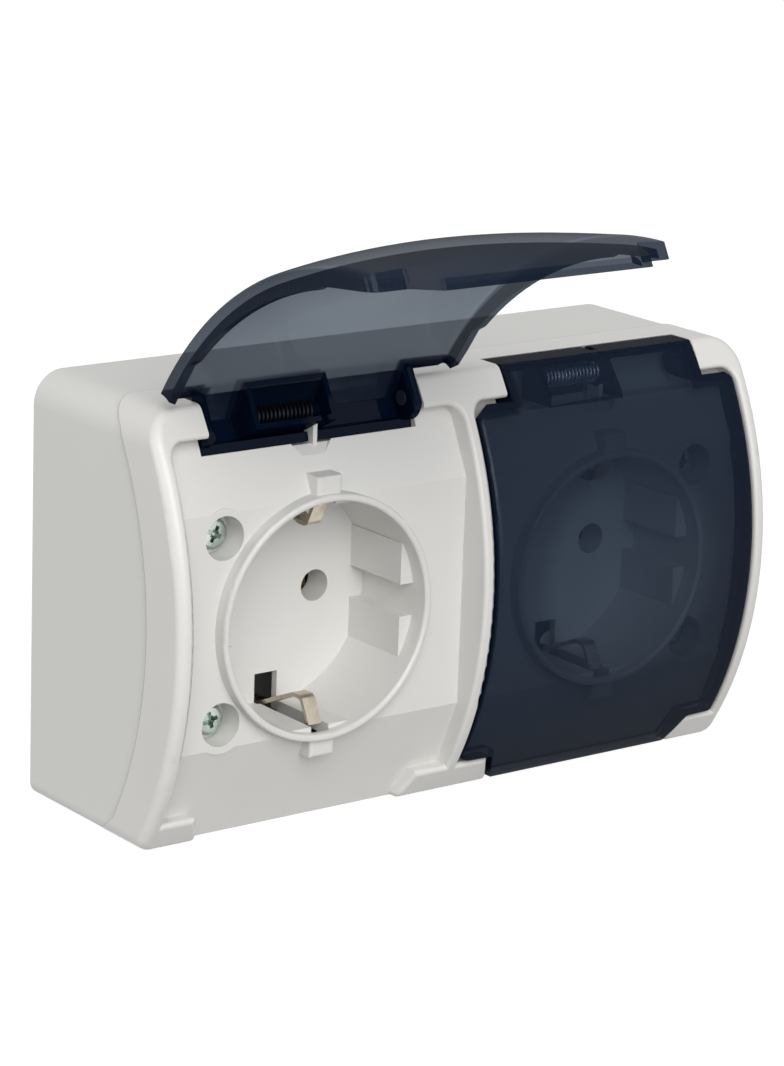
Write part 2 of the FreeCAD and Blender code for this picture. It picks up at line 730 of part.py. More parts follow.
def makeLid(centre):
    outer = lidBlock(0)
    half = recessHalfWidth - lidGap
    sides = [edge for edge in outer.Edges
             if abs(abs(edge.CenterOfMass.x) - half) < 1e-3 and edge.Curve.TypeId != "Part::GeomLine"]
    outer = outer.makeFillet(lidEdgeRounding, sides)
    outline = lidOutline()
    inside = outline.makeOffset2D(-lidSideWall)
    depth = Vector(0, crestDepth + beyond, 0)
    shell = outer.common(Part.Face(outline).extrude(depth))
    shell = shell.cut(lidBlock(lidThickness).common(Part.Face(inside).extrude(depth)))

    # The skirt stays shallow and clear of the recess floor, the ears reach the hinge axis
    skirt = polygonX(plateProfile(-plateClearance, crestY - beyond, False), -half, half)
    skirt = skirt.cut(behindFace(lidSkirtDepth, 0, halfHeight + beyond, -half, half))
    hinge = earProfile(-hingeHalfWidth, hingeHalfWidth)
    lid = shell.common(skirt.fuse(hinge))
    lid = lid.fuse(barrel(-hingeHalfWidth, hingeHalfWidth))

    # The pocket round the spring
    left, right = pocketLeft, pocketRight
    top = halfHeight - lidSideWall / 2
    low = pivotHeight - pocketBottom
    back = pivotY + pocketBack
    front = pivotY - pocketFront
    pocket = box(left, right, crestY, back, low, top)
    room = box(left + pocketWall, right - pocketWall, front + pocketWall, back - pocketWall,
               low - proud, top)
    room = room.fuse(box(left - proud, right + proud, crestY - beyond, front, low - proud, top))
    pocket = pocket.cut(room).common(lidBlock(lidThickness / 2))
    hold = springStubTurns * springPitch
    stubs = [
        cylinderX(pivotY, pivotHeight, left + pocketWall / 2, springStart + hold, springStubRadius),
        cylinderX(pivotY, pivotHeight, springEnd - hold, right - pocketWall / 2, springStubRadius),
    ]
    lid = lid.fuse([pocket] + stubs).removeSplitter()

    # The slit that the cover's web passes through, the pivot holes, and room for the lugs
    x0, x1 = ribOffset - slitWidth / 2, ribOffset + slitWidth / 2
    tools = [
        box(x0, x1, pivotY + slitFront, 0, pivotHeight + springOuter, halfHeight + proud),
        box(x0, x1, pivotY + springOuter, 0, low - proud, halfHeight + proud),
        cylinderX(pivotY, pivotHeight, -half, left - pocketWall, pivotStubRadius + pivotClearance),
        cylinderX(pivotY, pivotHeight, right + pocketWall, half, pivotStubRadius + pivotClearance),
    ]
    lugReach = math.hypot(faceY(recessTop) - pivotY, recessTop - pivotHeight) + lidGap
    corner = recessHalfWidth - recessCornerRadius
    cornerLow = recessTop - recessCornerRadius + math.sqrt(recessCornerRadius ** 2 - (half - corner) ** 2)
    cornerReach = math.hypot(faceY(cornerLow) - pivotY, cornerLow - pivotHeight) + lidGap
    for side in (-1, 1):
        x0, x1 = sorted((side * half, side * hingeHalfWidth))
        tools.append(cylinderX(pivotY, pivotHeight, x0, x1, lugReach))
        tools.append(Part.makeCone(lugReach, cornerReach, half - corner,
                                   Vector(side * corner, pivotY, pivotHeight), Vector(side, 0, 0)))
    for tool in tools:
        lid = lid.cut(tool)
    lid.translate(Vector(centre, 0, 0))
    return lid


def opened(shape, angle):
    turned = shape.copy()
    turned.rotate(Vector(0, pivotY, pivotHeight), Vector(1, 0, 0), -angle)
    return turned


def makeSpring(centre, angle):
    # Coil on the hinge axis, one leg on the lid and one on the cover's web
    wire = springWire / 2
    coil = cylinderX(pivotY, pivotHeight, springStart - wire, springEnd + wire, springOuter)
    inside = cylinderX(pivotY, pivotHeight, springStart - proud, springEnd + proud, springRadius - wire)
    coil = coil.cut(inside)
    leg = wire - springLegTrim
    lidLeg = cylinderY(springStart, pivotHeight - springRadius, pivotY - springLidLeg, pivotY, leg)
    coverLeg = cylinderZ(springEnd, pivotY + springRadius, pivotHeight - springCoverLeg,
                         pivotHeight, leg)
    spring = fuseAll([coil, opened(lidLeg, angle), coverLeg])
    spring.translate(Vector(centre, 0, 0))
    return spring


def screw(x, z, seatY, headRadius, headHeight, shankRadius, length):
    # A pan head screw that goes in along Y, with a cross in its head
    topY = seatY - headHeight
    head = cylinderY(x, z, topY, seatY, headRadius)
    body = head.fuse(cylinderY(x, z, seatY, seatY + length, shankRadius))
    edges = [edge for edge in body.Edges
             if edge.Curve.TypeId == "Part::GeomCircle" and abs(edge.CenterOfMass.y - topY) < 1e-6]
    body = body.makeFillet(headHeight * headShare, edges)
    reach = headRadius * driveShare
    for dx, dz in ((reach, driveWidth / 2), (driveWidth / 2, reach)):
        body = body.cut(box(x - dx, x + dx, topY - proud, topY + driveDepth, z - dz, z + dz))
    return body


def band(points, thickness):
    # The outline of a strip of even thickness along a bent line
    normals = []
    for (u0, v0), (u1, v1) in zip(points, points[1:]):
        length = math.hypot(u1 - u0, v1 - v0)
        normals.append(((v1 - v0) / length, (u0 - u1) / length))
    other = []
    for k, (u, v) in enumerate(points):
        a, b = normals[max(k - 1, 0)], normals[min(k, len(normals) - 1)]
        scale = thickness / (1 + a[0] * b[0] + a[1] * b[1])
        other.append((u + (a[0] + b[0]) * scale, v + (a[1] + b[1]) * scale))
    return points + other[::-1]


def pins(centre):
    # Each pin of a socket: its x, and which way its terminal lies
    return [(centre - pinPitch / 2, 1), (centre + pinPitch / 2, -1)]


def spanZ(up, near, far):
    return sorted((up * near, up * far))


def makeInsulator(centre):
    body = roundedY(centre - blockHalfWidth, centre + blockHalfWidth, -blockHalfHeight, blockHalfHeight,
                    blockFrontY, blockBackY, blockCorner, blockCorner)
    ears = roundedY(centre - blockEarReach, centre + blockEarReach, -blockEarHalf, blockEarHalf,
                    earBackY - blockEarThickness, earBackY, blockCorner, blockCorner)
    tools = []
    frontY = blockFrontY - proud
    for x, up in pins(centre):
        leaf = leafMouth / 2 + stripThickness + chamberGap
        tail = tailWidth / 2 + chamberGap
        endZ = terminalHeight + linkWidth / 2 + chamberGap
        low, high = -leafHalf - chamberGap, leafHalf + stripThickness + chamberGap
        z0, z1 = spanZ(up, low, high)
        tools.append(box(x - leaf, x + leaf, frontY, floorY + pinLength + pinTipGap, z0, z1))
        z0, z1 = spanZ(up, 0, endZ)
        tools.append(box(x - tail, x + tail, frontY, tailBackY, z0, z1))
        z0, z1 = spanZ(up, terminalHeight - linkWidth / 2 - chamberGap, endZ)
        tools.append(box(centre - blockHalfWidth - proud, centre + blockHalfWidth + proud, frontY,
                         tailBackY - stripThickness, z0, z1))
        tools.append(cylinderY(x, up * terminalHeight, tailBackY - proud,
                               tailBackY + terminalBite + chamberGap, terminalScrewRadius + pilotGap))
    tools.append(cylinderY(centre, earthScrewZ, frontY, blockFrontY + earthBite + chamberGap,
                           terminalScrewRadius + pilotGap))
    for side in (-1, 1):
        tools.append(cylinderY(centre + side * blockScrewX, 0, frontY, 0,
                               blockScrewRadius + screwClearance))
    body = body.fuse(ears)
    for tool in tools:
        body = body.cut(tool)
    return body


def makeContact(x, up):
    # A sprung U that grips the pin, with a tail to its terminal
    mouth, gap, foot = leafMouth / 2, leafGap / 2, leafFoot / 2
    strip = stripThickness
    inner = [(mouth, -leafHalf), (gap, 0), (foot, leafHalf)]
    outer = [(mouth + strip, -leafHalf), (gap + strip, 0), (foot + strip, leafHalf + strip)]
    side = inner + outer[::-1]
    right = [(x + dx, up * z) for dx, z in side]
    left = [(x - dx, up * z) for dx, z in side]
    y0 = tailBackY - leafLength
    z0, z1 = spanZ(up, leafHalf, leafHalf + strip)
    parts = [polygonY(right, y0, tailBackY), polygonY(left, y0, tailBackY),
             box(x - foot - strip / 2, x + foot + strip / 2, y0, tailBackY, z0, z1)]
    z0, z1 = spanZ(up, leafHalf, terminalHeight + linkEnd - holeGap)
    parts.append(box(x - tailWidth / 2, x + tailWidth / 2, tailBackY - strip, tailBackY, z0, z1))
    contact = fuseAll(parts)
    hole = cylinderY(x, up * terminalHeight, tailBackY - 2 * strip, tailBackY + strip,
                     terminalScrewRadius + holeGap)
    return contact.cut(hole)


def makeLink(x0, x1, z, backY):
    # A flat bar from a terminal of one socket to the same one of the other
    half = linkWidth / 2
    bar = box(x0 - linkEnd, x1 + linkEnd, backY - stripThickness, backY, z - half, z + half)
    for x in (x0, x1):
        bar = bar.cut(cylinderY(x, z, backY - proud, backY + proud, terminalScrewRadius + holeGap))
    return bar


def makeEarthBracket(centre):
    # A strap behind the cup floor that ends in a sprung clip at the top and the bottom
    foldY = ringY + clipFoldSetback
    half = [(blockFrontY, clipRoot), (floorY, clipFoot), (foldY, clipFold),
            (foldY - clipFoldLength, clipFold), (ringY + clipTipSetback, clipTip)]
    lower = [(y, -z) for y, z in reversed(half)]
    outline = band(lower + half, -stripThickness)
    bracket = polygonX(outline, centre - clipWidth / 2, centre + clipWidth / 2)
    bracket = bracket.makeFillet(clipBend + stripThickness, foldEdges(bracket, clipFold - stripThickness))
    bracket = bracket.makeFillet(clipBend, foldEdges(bracket, clipFold))
    half = linkWidth / 2
    pad = box(centre - earthPadWidth / 2, centre + earthPadWidth / 2, blockFrontY - stripThickness,
              blockFrontY, earthScrewZ - half, earthScrewZ + half)
    hole = cylinderY(centre, earthScrewZ, blockFrontY - 2 * stripThickness, blockFrontY + stripThickness,
                     terminalScrewRadius + holeGap)
    return bracket.fuse(pad).removeSplitter().cut(hole)


def foldEdges(body, height):
    # The edges across the strip at its two folds
    edges = []
    for edge in body.Edges:
        across = abs(edge.Vertexes[0].X - edge.Vertexes[-1].X) > clipWidth / 2
        if across and abs(abs(edge.CenterOfMass.z) - height) < stripThickness / 2:
            edges.append(edge)
    return edges


def terminalScrews(centre):
    screws = []
    seat = tailBackY - 2 * stripThickness
    for x, up in pins(centre):
        screws.append(screw(x, up * terminalHeight, seat, terminalHeadRadius, terminalHeadHeight,
                            terminalScrewRadius, 2 * stripThickness + terminalBite))
    seat = blockFrontY - 2 * stripThickness
    screws.append(screw(centre, earthScrewZ, seat, terminalHeadRadius, terminalHeadHeight,
                        terminalScrewRadius, 2 * stripThickness + earthBite))
    return Part.makeCompound(screws)


def coverScrews():
    length = screwBossEndY - headSeatY + screwBite
    screws = []
    for x, z in screwPlaces():
        screws.append(screw(x, z, headSeatY, screwHeadRadius, screwHeadHeight, screwShankRadius, length))
    return Part.makeCompound(screws)


def insulatorScrews():
    seat = earBackY - blockEarThickness
    length = blockEarThickness + blockScrewBite
    screws = []
    for x in blockScrewPlaces():
        screws.append(screw(x, 0, seat, blockScrewHeadRadius, blockScrewHeadHeight, blockScrewRadius, length))
    return Part.makeCompound(screws)


def makeGrommet():
    # A rubber plug in the cable entry: flange, wall, inner lip and a thin membrane to cut open
    low = -halfHeight
    inner = low + wall + entryLift + grommetGap
    flange = entryRadius + entryFlange - grommetGap
    body = entryRadius - grommetGap
    bore = body - grommetWall
    step = low + entryRecess - grommetGap / 2
    lip = entryRadius + grommetLip
    dish = low + grommetDish
    profile = [
        (0, dish), (bore - grommetChamfer, dish), (bore, low), (flange, low), (flange, step),
        (body, step), (body, inner), (lip, inner), (body, inner + grommetLip), (bore, inner + grommetLip),
        (bore, dish + membrane), (0, dish + membrane),
    ]
    wire = Part.makePolygon([Vector(r, -entryDepth, z) for r, z in profile + profile[:1]])
    return Part.Face(wire).revolve(Vector(0, -entryDepth, 0), Vector(0, 0, 1), 360)


nodes["front_cover"] = makeFrontCover()
nodes["rear_box"] = makeRearBox()
nodes["cover_seal"] = sealBody(0, sealHeight)
nodes["cover_screws"] = coverScrews()
nodes["cable_grommet"] = makeGrommet()
nodes["insulator_screws"] = insulatorScrews()
for name, centre in gangCentres.items():
    angle = openAngle if name == "left" else 0
    nodes[name + "_lid"] = opened(makeLid(centre), angle)
    nodes[name + "_lid_spring"] = makeSpring(centre, angle)
    nodes[name + "_insulator"] = makeInsulator(centre)
    nodes[name + "_terminal_screws"] = terminalScrews(centre)
    nodes[name + "_earth_bracket"] = makeEarthBracket(centre)
    for pole, (x, up) in zip(("line", "neutral"), pins(centre)):
        nodes[name + "_" + pole + "_contact"] = makeContact(x, up)
leftX, rightX = gangCentres["left"], gangCentres["right"]
for pole, (offset, up) in zip(("line", "neutral"), pins(0)):
    nodes[pole + "_link"] = makeLink(leftX + offset, rightX + offset, up * terminalHeight,
                                     tailBackY - stripThickness)
nodes["earth_link"] = makeLink(leftX, rightX, earthScrewZ, blockFrontY - stripThickness)

os.makedirs("parts", exist_ok=True)
for name, shape in nodes.items():
    shape.exportStep("parts/" + name + ".step")
    print(name, len(shape.Solids), round(shape.Volume), shape.isValid())
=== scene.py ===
import json
import math

import bmesh
import bpy
from mathutils import Matrix, Vector


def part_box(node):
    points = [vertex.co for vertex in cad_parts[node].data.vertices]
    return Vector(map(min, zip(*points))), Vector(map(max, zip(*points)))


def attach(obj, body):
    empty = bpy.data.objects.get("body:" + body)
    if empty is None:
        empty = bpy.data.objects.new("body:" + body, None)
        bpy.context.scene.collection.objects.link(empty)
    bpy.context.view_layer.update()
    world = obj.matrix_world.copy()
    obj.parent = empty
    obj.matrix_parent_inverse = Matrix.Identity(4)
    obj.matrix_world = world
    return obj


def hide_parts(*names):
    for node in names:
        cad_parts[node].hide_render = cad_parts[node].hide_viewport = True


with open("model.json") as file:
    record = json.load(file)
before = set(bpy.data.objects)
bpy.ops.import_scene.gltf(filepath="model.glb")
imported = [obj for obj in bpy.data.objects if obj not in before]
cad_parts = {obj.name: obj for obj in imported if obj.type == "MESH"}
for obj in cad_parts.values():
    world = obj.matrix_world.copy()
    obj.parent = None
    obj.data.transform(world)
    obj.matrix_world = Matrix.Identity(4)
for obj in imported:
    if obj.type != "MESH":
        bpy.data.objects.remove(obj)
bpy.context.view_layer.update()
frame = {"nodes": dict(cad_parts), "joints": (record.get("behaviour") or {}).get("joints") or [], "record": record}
print("frame loaded")


class Signal:
    # one output of a shader tree, so that maths on it reads as Python
    def __init__(self, finish, socket):
        self.finish = finish
        self.socket = socket

    def maths(self, operation, *values):
        return self.finish.node("ShaderNodeMath", {"operation": operation}, list(values))

    def __add__(self, other):
        return self.maths("ADD", self, other)

    def __mul__(self, other):
        return self.maths("MULTIPLY", self, other)

    def __sub__(self, other):
        return self.maths("SUBTRACT", self, other)

    def __rsub__(self, other):
        return self.maths("SUBTRACT", other, self)

    def __truediv__(self, other):
        return self.maths("DIVIDE", self, other)

    def __rtruediv__(self, other):
        return self.maths("DIVIDE", other, self)

    def __pow__(self, other):
        return self.maths("POWER", self, other)

    def __rpow__(self, other):
        return self.maths("POWER", other, self)

    def __abs__(self):
        return self.maths("ABSOLUTE", self)

    __radd__ = __add__
    __rmul__ = __mul__

    def larger(self, other):
        return self.maths("MAXIMUM", self, other)

    def between(self, low, high):
        # 0 below low, 1 above high, smooth in between
        return self.finish.node("ShaderNodeMapRange", {"interpolation_type": "SMOOTHSTEP"},
                                {"Value": self, "From Min": low, "From Max": high})


class Finish:
    # the shader tree of a material, or of the world, under construction
    def __init__(self, name, owners=bpy.data.materials, end="ShaderNodeOutputMaterial"):
        self.owner = owners.new(name)
        self.owner.use_nodes = True
        self.tree = self.owner.node_tree
        self.tree.nodes.clear()
        self.end = self.tree.nodes.new(end)

    def node(self, kind, settings=None, sockets=None, out=0):
        made = self.tree.nodes.new(kind)
        for key, value in (settings or {}).items():
            setattr(made, key, value)
        pairs = sockets.items() if isinstance(sockets, dict) else enumerate(sockets or [])
        for key, value in pairs:
            if isinstance(value, Signal):
                self.tree.links.new(value.socket, made.inputs[key])
            else:
                made.inputs[key].default_value = value
        return Signal(self, made.outputs[out])

    def place(self):
        return self.node("ShaderNodeTexCoord", out="Object")

    def parts(self, vector):
        split = self.node("ShaderNodeSeparateXYZ", sockets=[vector])
        outputs = split.socket.node.outputs
        return [Signal(self, outputs[k]) for k in range(3)]

    def noise(self, place, scale, detail=2.0):
        return self.node("ShaderNodeTexNoise", sockets={"Vector": place, "Scale": scale, "Detail": detail})

    def blendColour(self, factor, first, second):
        # sockets 6 and 7 are a Mix node's two colours, and output 2 is their blend
        return self.node("ShaderNodeMix", {"data_type": "RGBA"}, {0: factor, 6: first, 7: second}, out=2)

    def bump(self, height, distance):
        return self.node("ShaderNodeBump", sockets={"Height": height, "Distance": distance})

    def principled(self, **sockets):
        named = {key.replace("_", " "): value for key, value in sockets.items()}
        return self.node("ShaderNodeBsdfPrincipled", sockets=named)

    def close(self, shader):
        self.tree.links.new(shader.socket, self.end.inputs["Surface"])
        return self.owner


def colour(red, green, blue):
    return (red, green, blue, 1.0)


def restTurn(joint):
    # how far the lid stands open at rest
    return math.radians(-joint["range_deg"][0])


coverLook = {"colour": colour(0.733, 0.722, 0.697), "shade": colour(0.711, 0.701, 0.677),
             "roughness": 0.34, "spread": 0.10, "grain": 3200, "depth": 0.000012, "cloud": 26}
boxLook = {"colour": colour(0.721, 0.717, 0.690), "shade": colour(0.700, 0.697, 0.671),
           "roughness": 0.38, "spread": 0.10, "grain": 3200, "depth": 0.000016, "cloud": 22}
blockLook = {"colour": colour(0.060, 0.060, 0.065), "shade": colour(0.040, 0.040, 0.045),
             "roughness": 0.5, "spread": 0.12, "grain": 2600, "depth": 0.00002, "cloud": 40}
mouldLook = {"cloudFrom": 0.3, "cloudTo": 0.7, "grainShare": 0.5, "bend": 1.46}  # the same for all three

# painted shade in the joint: a dark line where the two shells meet, an arc, then straight back over the corners,
# on the outside alone
paintedSeamShade = {"colour": colour(0.400, 0.400, 0.370), "centre": 0.02953, "arc": 0.06481, "cornerHeight": 0.03294,
            "cornerY": -0.02628, "slope": 1.227, "width": 0.00012, "sideFrom": 0.0600, "topFrom": 0.0348,
            "outsideFade": 1.005}
# the pivot pins in the lugs are dark
pivotLook = {"colour": colour(0.020, 0.024, 0.034), "radius": 0.00136, "radiusFade": 1.02, "reach": 0.0215,
             "reachFade": 1.002}


# the mask of the painted shade line along the joint of the two shells
def paintedSeamShadeMask(skin, look):
    x, y, z = skin.parts(skin.place())
    arcY = look["centre"] - (look["arc"] ** 2 - z * z) ** 0.5
    slantY = look["cornerY"] + (abs(z) - look["cornerHeight"]) * look["slope"]
    off = abs(y - arcY.larger(slantY))
    outside = (abs(x) / look["sideFrom"]).larger(abs(z) / look["topFrom"])
    line = 1 - off.between(look["width"] * 0.5, look["width"] * 1.5)
    return line * outside.between(1.0, look["outsideFade"])


def pivotMask(skin, look):
    x, y, z = skin.parts(skin.place())
    middle = frame["joints"][0]["pos_m"]
    fromAxis = ((y - middle[1]) ** 2 + (z - middle[2]) ** 2) ** 0.5
    aside = abs(abs(x) - abs(middle[0]))
    stub = 1 - fromAxis.between(look["radius"], look["radius"] * look["radiusFade"])
    return stub * (1 - aside.between(look["reach"], look["reach"] * look["reachFade"]))


def mouldedPlastic(name, look, seamShade=None, pivot=None):
    skin = Finish(name)
    place = skin.place()
    cloud = skin.noise(place, look["cloud"], 3.0)
    grain = skin.noise(place, look["grain"])
    patches = cloud.between(mouldLook["cloudFrom"], mouldLook["cloudTo"])
    tone = skin.blendColour(patches, look["shade"], look["colour"])
    if seamShade:
        # painted shade: the joint line is darkened
        tone = skin.blendColour(paintedSeamShadeMask(skin, seamShade), tone, seamShade["colour"])
    if pivot:
        tone = skin.blendColour(pivotMask(skin, pivot), tone, pivot["colour"])
    grainSpread = look["spread"] * mouldLook["grainShare"]
    rough = look["roughness"] + (cloud - 0.5) * look["spread"] + (grain - 0.5) * grainSpread
    shader = skin.principled(Base_Color=tone, Roughness=rough, Normal=skin.bump(grain, look["depth"]),
                             IOR=mouldLook["bend"])
    return skin.close(shader)


# the lids let light through each of their two faces; hinge ears let less through, being thicker; edges let less
# through, partly for the plastic seen edge-on and partly as painted shade; the hinge flange and the pocket get
# painted shade, and a disc over the socket a painted reflection
lidLook = {
    "colour": colour(0.015, 0.080, 0.250), "shade": colour(0.012, 0.064, 0.200),
    "through": colour(0.496, 0.530, 0.568), "thickAndShaded": colour(0.010, 0.012, 0.018),
    "gloss": 0.08, "bend": 1.8, "slant": 0.45, "slantPower": 2, "brim": 0.50, "brimPower": 10,
    "edgeFrom": 0.60, "edgeTo": 0.85, "edgeDenseAndShade": 0.50,
    "hingeNear": 0.0062, "hingeFar": 0.0068, "hingeDenseAndShade": 0.20,
    "earFrom": 0.01875, "earTo": 0.01995, "earDense": 0.92,
    "pocketMiddle": -0.00477, "pocketFrom": 0.0082, "pocketTo": 0.0085, "pocketShadeDense": 0.45,
    "tailFrom": 0.0030, "tailTo": 0.0036, "tailShadeDense": 0.80, "underShadeDense": 0.85,
    "paintedGlowMiddle": -0.03312, "paintedGlowFrom": 0.0160, "paintedGlowTo": 0.0220, "outsideGlowDense": 0.05,
    "roughness": 0.06, "scuff": 0.06, "scuffGrain": 900, "scuffFrom": 0.55, "scuffTo": 0.75,
    "cloud": 30, "wave": 0.000004,
}
# the shut lid over the closed socket is a copy of the same plastic with its own painted light and shade: it lets
# more light through, has a stronger painted reflection over the socket, less painted shade in its hinge and none
# over its pocket, so that the spring shows through, and more painted shade at its edge
shutLidPaintedLook = dict(lidLook, through=colour(0.515, 0.548, 0.588), edgeDenseAndShade=0.85, hingeDenseAndShade=0.08,
                   pocketShadeDense=0.0, outsideGlowDense=0.20)


def smokedPlastic(name, look, pivot, turn):
    skin = Finish(name)
    place = skin.place()
    x, y, z = skin.parts(place)

    # where a point lies from the hinge's axis: along it, and out and up from it as the lid stands when closed
    aside, dy, dz = x - pivot[0], y - pivot[1], z - pivot[2]
    out = dy * math.cos(turn) - dz * math.sin(turn)
    up = dy * math.sin(turn) + dz * math.cos(turn)
    # the hinge zone lets less light through, partly for its layers of plastic and partly as painted shade
    hinge = 1 - ((dy * dy + dz * dz) ** 0.5).between(look["hingeNear"], look["hingeFar"])
    ear = hinge * abs(aside).between(look["earFrom"], look["earTo"])
    # painted shade: the lid is made denser over the spring's pocket, for the shade inside it
    pocket = hinge * (1 - abs(aside - look["pocketMiddle"]).between(look["pocketFrom"], look["pocketTo"]))
    # the flange beyond the hinge is darkened, partly for the plastic seen edge-on and partly as painted shade of
    # the channel behind it
    tail = hinge * out.between(look["tailFrom"], look["tailTo"])
    # painted reflection: the lid is clearer in a disc over the socket and denser round it, standing in for a soft
    # reflection there
    fromCup = up - look["paintedGlowMiddle"]
    outsidePaintedGlow = (1 - hinge) * ((aside * aside + fromCup * fromCup) ** 0.5).between(look["paintedGlowFrom"], look["paintedGlowTo"])

    # the walls round the lid's outline face sideways, or up and down as it stands when closed
    facing = skin.parts(skin.node("ShaderNodeTexCoord", out="Normal"))
    upward = facing[1] * math.sin(turn) + facing[2] * math.cos(turn)
    # painted shade: the downward faces of the hinge flange are darkened, for the shade under it
    under = hinge * (upward * -1).between(look["edgeFrom"], look["edgeTo"])
    edge = abs(facing[0]).larger(abs(upward) * (1 - hinge)).between(look["edgeFrom"], look["edgeTo"])

    # glass seen at a slant takes more light away, and most at its outline
    slant = skin.node("ShaderNodeLayerWeight", out="Facing")
    thickAndShaded = slant ** look["slantPower"] * look["slant"] + slant ** look["brimPower"] * look["brim"]
    # each mask darkens the lid further, some for thicker plastic and some as painted shade
    for mask, amount in ((outsidePaintedGlow, "outsideGlowDense"), (edge, "edgeDenseAndShade"), (hinge, "hingeDenseAndShade"), (ear, "earDense"),
                         (pocket, "pocketShadeDense"), (tail, "tailShadeDense"), (under, "underShadeDense")):
        thickAndShaded = thickAndShaded + (1 - thickAndShaded) * mask * look[amount]

    cloud = skin.noise(place, look["cloud"])
    scuff = skin.noise(place, look["scuffGrain"], 3.0).between(look["scuffFrom"], look["scuffTo"])
    skinned = skin.principled(Base_Color=skin.blendColour(cloud, look["colour"], look["shade"]),
                              Roughness=look["roughness"] + scuff * look["scuff"], IOR=look["bend"],
                              Normal=skin.bump(cloud, look["wave"]))
    thin = skin.node("ShaderNodeBsdfTransparent", sockets={"Color": look["through"]})
    thickAndShadedWindow = skin.node("ShaderNodeBsdfTransparent", sockets={"Color": look["thickAndShaded"]})
    window = skin.node("ShaderNodeMixShader", sockets=[thickAndShaded, thin, thickAndShadedWindow])
    return skin.close(skin.node("ShaderNodeMixShader", sockets=[look["gloss"], window, skinned]))


steelLook = {"colour": colour(0.76, 0.82, 0.77), "dark": colour(0.40, 0.47, 0.43), "roughness": 0.24}
clipLook = {"colour": colour(0.56, 0.50, 0.41), "dark": colour(0.40, 0.345, 0.27), "roughness": 0.28}
brassLook = {"colour": colour(0.80, 0.62, 0.30), "dark": colour(0.52, 0.38, 0.16), "roughness": 0.3}
springLook = {"colour": colour(0.82, 0.86, 0.92), "dark": colour(0.42, 0.45, 0.50), "roughness": 0.24}
# painted shade: the spring steel darkened and dulled, for the open lid's spring in the shade of its pocket
springShadeLook = {"colour": colour(0.018, 0.020, 0.026), "dark": colour(0.008, 0.009, 0.012), "roughness": 0.5}
platedLook = {"stain": 240, "stainFrom": 0.35, "stainTo": 0.75, "stainSpread": 0.3,
              "brush": 2400, "brushSpread": 0.1, "brushDepth": 0.00001}  # the same for every metal


def platedMetal(name, look):
    skin = Finish(name)
    place = skin.place()
    stain = skin.noise(place, platedLook["stain"], 3.0)
    brush = skin.noise(place, platedLook["brush"])
    patches = stain.between(platedLook["stainFrom"], platedLook["stainTo"])
    tone = skin.blendColour(patches, look["colour"], look["dark"])
    uneven = (stain - 0.5) * platedLook["stainSpread"] + (brush - 0.5) * platedLook["brushSpread"]
    shader = skin.principled(Base_Color=tone, Metallic=1.0, Roughness=look["roughness"] + uneven,
                             Normal=skin.bump(brush, platedLook["brushDepth"]))
    return skin.close(shader)


rubberLook = {"seal": colour(0.02, 0.02, 0.02), "sealPale": colour(0.035, 0.035, 0.035),
              "grommet": colour(0.42, 0.42, 0.40), "grommetPale": colour(0.535, 0.535, 0.51),
              "bloom": 160, "grain": 2500, "depth": 0.00003, "roughness": 0.62, "spread": 0.2}


def softRubber(name, base, pale):
    skin = Finish(name)
    place = skin.place()
    bloom = skin.noise(place, rubberLook["bloom"], 4.0)
    grain = skin.noise(place, rubberLook["grain"])
    shader = skin.principled(Base_Color=skin.blendColour(bloom, base, pale),
                             Roughness=rubberLook["roughness"] + bloom * rubberLook["spread"],
                             Normal=skin.bump(grain, rubberLook["depth"]))
    return skin.close(shader)


finishes = {
    "cover_plastic": mouldedPlastic("coverPlastic", coverLook, paintedSeamShade, pivotLook),
    "box_plastic": mouldedPlastic("boxPlastic", boxLook, paintedSeamShade),
    "insulator_plastic": mouldedPlastic("blockPlastic", blockLook),
    "screw_steel": platedMetal("screwSteel", steelLook),
    "terminal_steel": platedMetal("terminalSteel", steelLook),
    "clip_metal": platedMetal("clipMetal", clipLook),
    "contact_brass": platedMetal("contactBrass", brassLook),
    "spring_steel": platedMetal("springWire", springLook),
    # painted shade: the open lid's spring is a darkened copy of the spring steel
    "left_lid_spring": platedMetal("shadedSpringWire", springShadeLook),  # dark, as the open lid's pocket looks
    "seal_rubber": softRubber("sealRubber", rubberLook["seal"], rubberLook["sealPale"]),
    "grommet_rubber": softRubber("grommetRubber", rubberLook["grommet"], rubberLook["grommetPale"]),
}
for joint in frame["joints"]:
    lid, turn = joint["child"], restTurn(joint)
    finishes[lid] = smokedPlastic(lid + "Smoked", lidLook if turn > 0 else shutLidPaintedLook, joint["pos_m"], turn)
for part in frame["record"]["subparts"]:
    slots = frame["nodes"][part["node"]].data.materials
    slots.clear()
    slots.append(finishes.get(part["node"]) or finishes[part["material_slot"]])
print("finishes made")


def addObject(name, data):
    made = bpy.data.objects.new(name, data)
    bpy.context.scene.collection.objects.link(made)
    return made


def meshPiece(name, verts, faces):
    mesh = bpy.data.meshes.new(name)
    mesh.from_pydata(verts, [], faces)
    return addObject(name, mesh)


lidSpring = {"turns": 15, "pitch": 0.00077, "radius": 0.00144, "wire": 0.00054, "end": 0.00081,
             "coverLeg": 0.00414, "coverLegSteps": 8, "lidLeg": 0.00200, "lidLegSteps": 5,
             "stepsPerTurn": 24, "sides": 10}


